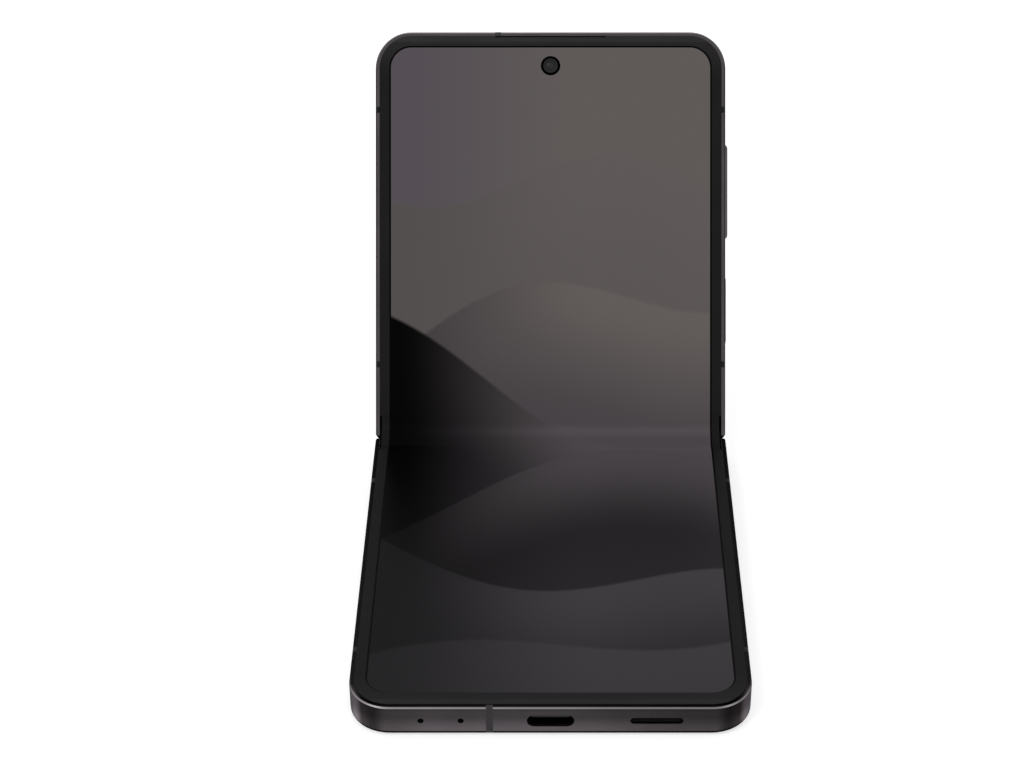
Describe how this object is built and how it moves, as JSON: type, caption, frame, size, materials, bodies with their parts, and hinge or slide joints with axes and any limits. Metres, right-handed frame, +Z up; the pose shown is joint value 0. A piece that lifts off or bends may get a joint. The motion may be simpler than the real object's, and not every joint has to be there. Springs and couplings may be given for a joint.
{
  "type": "foldable smartphone",
  "caption": "Clamshell foldable phone: two slim halves on a geared two-axis hinge, one flexible screen across the fold, side keys, card tray, charging port and rear cameras",
  "frame": {"origin": "middle of the lower half's flat back face, on the surface that the phone lies on", "axes": "+X to the right as the screen is seen, +Y from the charging port towards the hinge, +Z up out of the lower screen"},
  "size_m": [0.0726, 0.1339, 0.0763],
  "materials": {
    "frame_metal": "graphite anodised, fine matt with a bright front chamfer",
    "back_glass": "dark satin glass",
    "cover_screen": "black glossy panel",
    "soft_bezel": "black, soft, satin",
    "main_screen": "glossy flexible display, dark wallpaper",
    "steel": "bare, fine brushed",
    "gear_brass": "cut, bare",
    "cell_foil": "dark laminate pouch",
    "coil_copper": "copper winding",
    "board_green": "solder mask",
    "black_plastic": "moulded, fine matt",
    "magnet_metal": "plated",
    "break_plastic": "moulded, dark grey",
    "mesh_metal": "black perforated sheet",
    "spine_metal": "graphite satin",
    "ring_metal": "turned, dark anodised",
    "lens_glass": "polished, coated",
    "flash_plastic": "frosted lens",
    "key_black": "black satin, touch sensor face",
    "flex_amber": "polyimide film"
  },
  "bodies": {
    "lower_half": {"lower_frame": "frame_metal", "lower_back_cover": "back_glass", "lower_bezel": "soft_bezel", "lower_display": "main_screen", "lower_battery": "cell_foil", "charging_coil": "coil_copper", "sub_board": "board_green", "port_shell": "steel", "port_tongue": "black_plastic", "loudspeaker": "black_plastic", "speaker_mesh": "mesh_metal", "microphones": "steel", "vibration_motor": "steel", "lower_antenna_breaks": "break_plastic", "lower_screws": "steel", "lower_hinge_arms": "steel", "lower_sync_arm": "steel", "lower_magnets": "magnet_metal"},
    "spine": {"spine_cover": "spine_metal", "spine_end_caps": "black_plastic", "hinge_bases": "steel", "gear_block": "steel", "gear_pins": "steel", "display_fold": "main_screen", "bezel_fold_strips": "soft_bezel", "hinge_flex_cables": "flex_amber"},
    "upper_half": {"upper_frame": "frame_metal", "upper_back_cover": "back_glass", "cover_display": "cover_screen", "upper_bezel": "soft_bezel", "upper_display": "main_screen", "upper_battery": "cell_foil", "main_board": "board_green", "board_shields": "steel", "front_camera": "black_plastic", "front_camera_window": "lens_glass", "rear_cameras": "black_plastic", "lens_rings": "ring_metal", "lens_windows": "lens_glass", "flash_window": "flash_plastic", "earpiece": "black_plastic", "earpiece_mesh": "mesh_metal", "power_switch": "steel", "volume_switches": "steel", "tray_socket": "steel", "upper_antenna_breaks": "break_plastic", "upper_screws": "steel", "upper_hinge_arms": "steel", "upper_sync_arm": "steel", "upper_magnets": "magnet_metal"},
    "lower_wing": {"lower_wing_plate": "steel"},
    "upper_wing": {"upper_wing_plate": "steel"},
    "upper_outer_gear": {"upper_sync_gear": "gear_brass"},
    "upper_inner_gear": {"upper_idler_gear": "gear_brass"},
    "lower_inner_gear": {"lower_idler_gear": "gear_brass"},
    "lower_outer_gear": {"lower_sync_gear": "gear_brass"},
    "volume_key": {"volume_key": "frame_metal"},
    "power_key": {"power_key": "key_black"},
    "card_tray": {"card_tray": "frame_metal"}
  },
  "joints": [
    {"name": "fold", "type": "hinge", "parent": "lower_half", "child": "spine", "pos_m": [0, 0.04015, 0.005], "axis": [1, 0, 0], "range_deg": [-28.5, 61.5], "deforming": ["display_fold", "bezel_fold_strips", "hinge_flex_cables"]},
    {"name": "fold_upper", "type": "hinge", "parent": "spine", "child": "upper_half", "pos_m": [0, 0.0434, 0.00677], "axis": [1, 0, 0], "range_deg": [-28.85, 61.85]},
    {"name": "lower_wing_tilt", "type": "hinge", "parent": "lower_half", "child": "lower_wing", "pos_m": [0, 0.0288, 0.00585], "axis": [1, 0, 0], "range_deg": [-2.81, 1.34]},
    {"name": "upper_wing_tilt", "type": "hinge", "parent": "upper_half", "child": "upper_wing", "pos_m": [0, 0.04887, 0.01675], "axis": [1, 0, 0], "range_deg": [-1.34, 2.81]},
    {"name": "upper_outer_gear_turn", "type": "hinge", "parent": "spine", "child": "upper_outer_gear", "pos_m": [0, 0.0447, 0.00438], "axis": [1, 0, 0], "range_deg": [-211.24, 99.04]},
    {"name": "upper_inner_gear_turn", "type": "hinge", "parent": "spine", "child": "upper_inner_gear", "pos_m": [0, 0.04361, 0.00379], "axis": [1, 0, 0], "range_deg": [-99.04, 211.24]},
    {"name": "lower_inner_gear_turn", "type": "hinge", "parent": "spine", "child": "lower_inner_gear", "pos_m": [0, 0.04253, 0.0032], "axis": [1, 0, 0], "range_deg": [-211.24, 99.04]},
    {"name": "lower_outer_gear_turn", "type": "hinge", "parent": "spine", "child": "lower_outer_gear", "pos_m": [0, 0.04144, 0.00262], "axis": [1, 0, 0], "range_deg": [-99.04, 211.24]},
    {"name": "volume_press", "type": "slide", "parent": "upper_half", "child": "volume_key", "axis": [-1, 0, 0], "range_m": [0, 0.00025], "stiffness_N_per_m": 600},
    {"name": "power_press", "type": "slide", "parent": "upper_half", "child": "power_key", "axis": [-1, 0, 0], "range_m": [0, 0.00025], "stiffness_N_per_m": 600},
    {"name": "tray_pull", "type": "slide", "parent": "upper_half", "child": "card_tray", "axis": [-1, 0, 0], "range_m": [0, 0.013]}
  ],
  "couplings": [
    {"joint": "fold_upper", "follows": "fold", "ratio": 1},
    {"joint": "lower_wing_tilt", "follows": "fold", "ratio": -0.0444},
    {"joint": "upper_wing_tilt", "follows": "fold", "ratio": 0.0444},
    {"joint": "upper_outer_gear_turn", "follows": "fold", "ratio": -3.4},
    {"joint": "upper_inner_gear_turn", "follows": "fold", "ratio": 3.4},
    {"joint": "lower_inner_gear_turn", "follows": "fold", "ratio": -3.4},
    {"joint": "lower_outer_gear_turn", "follows": "fold", "ratio": 3.4}
  ]
}
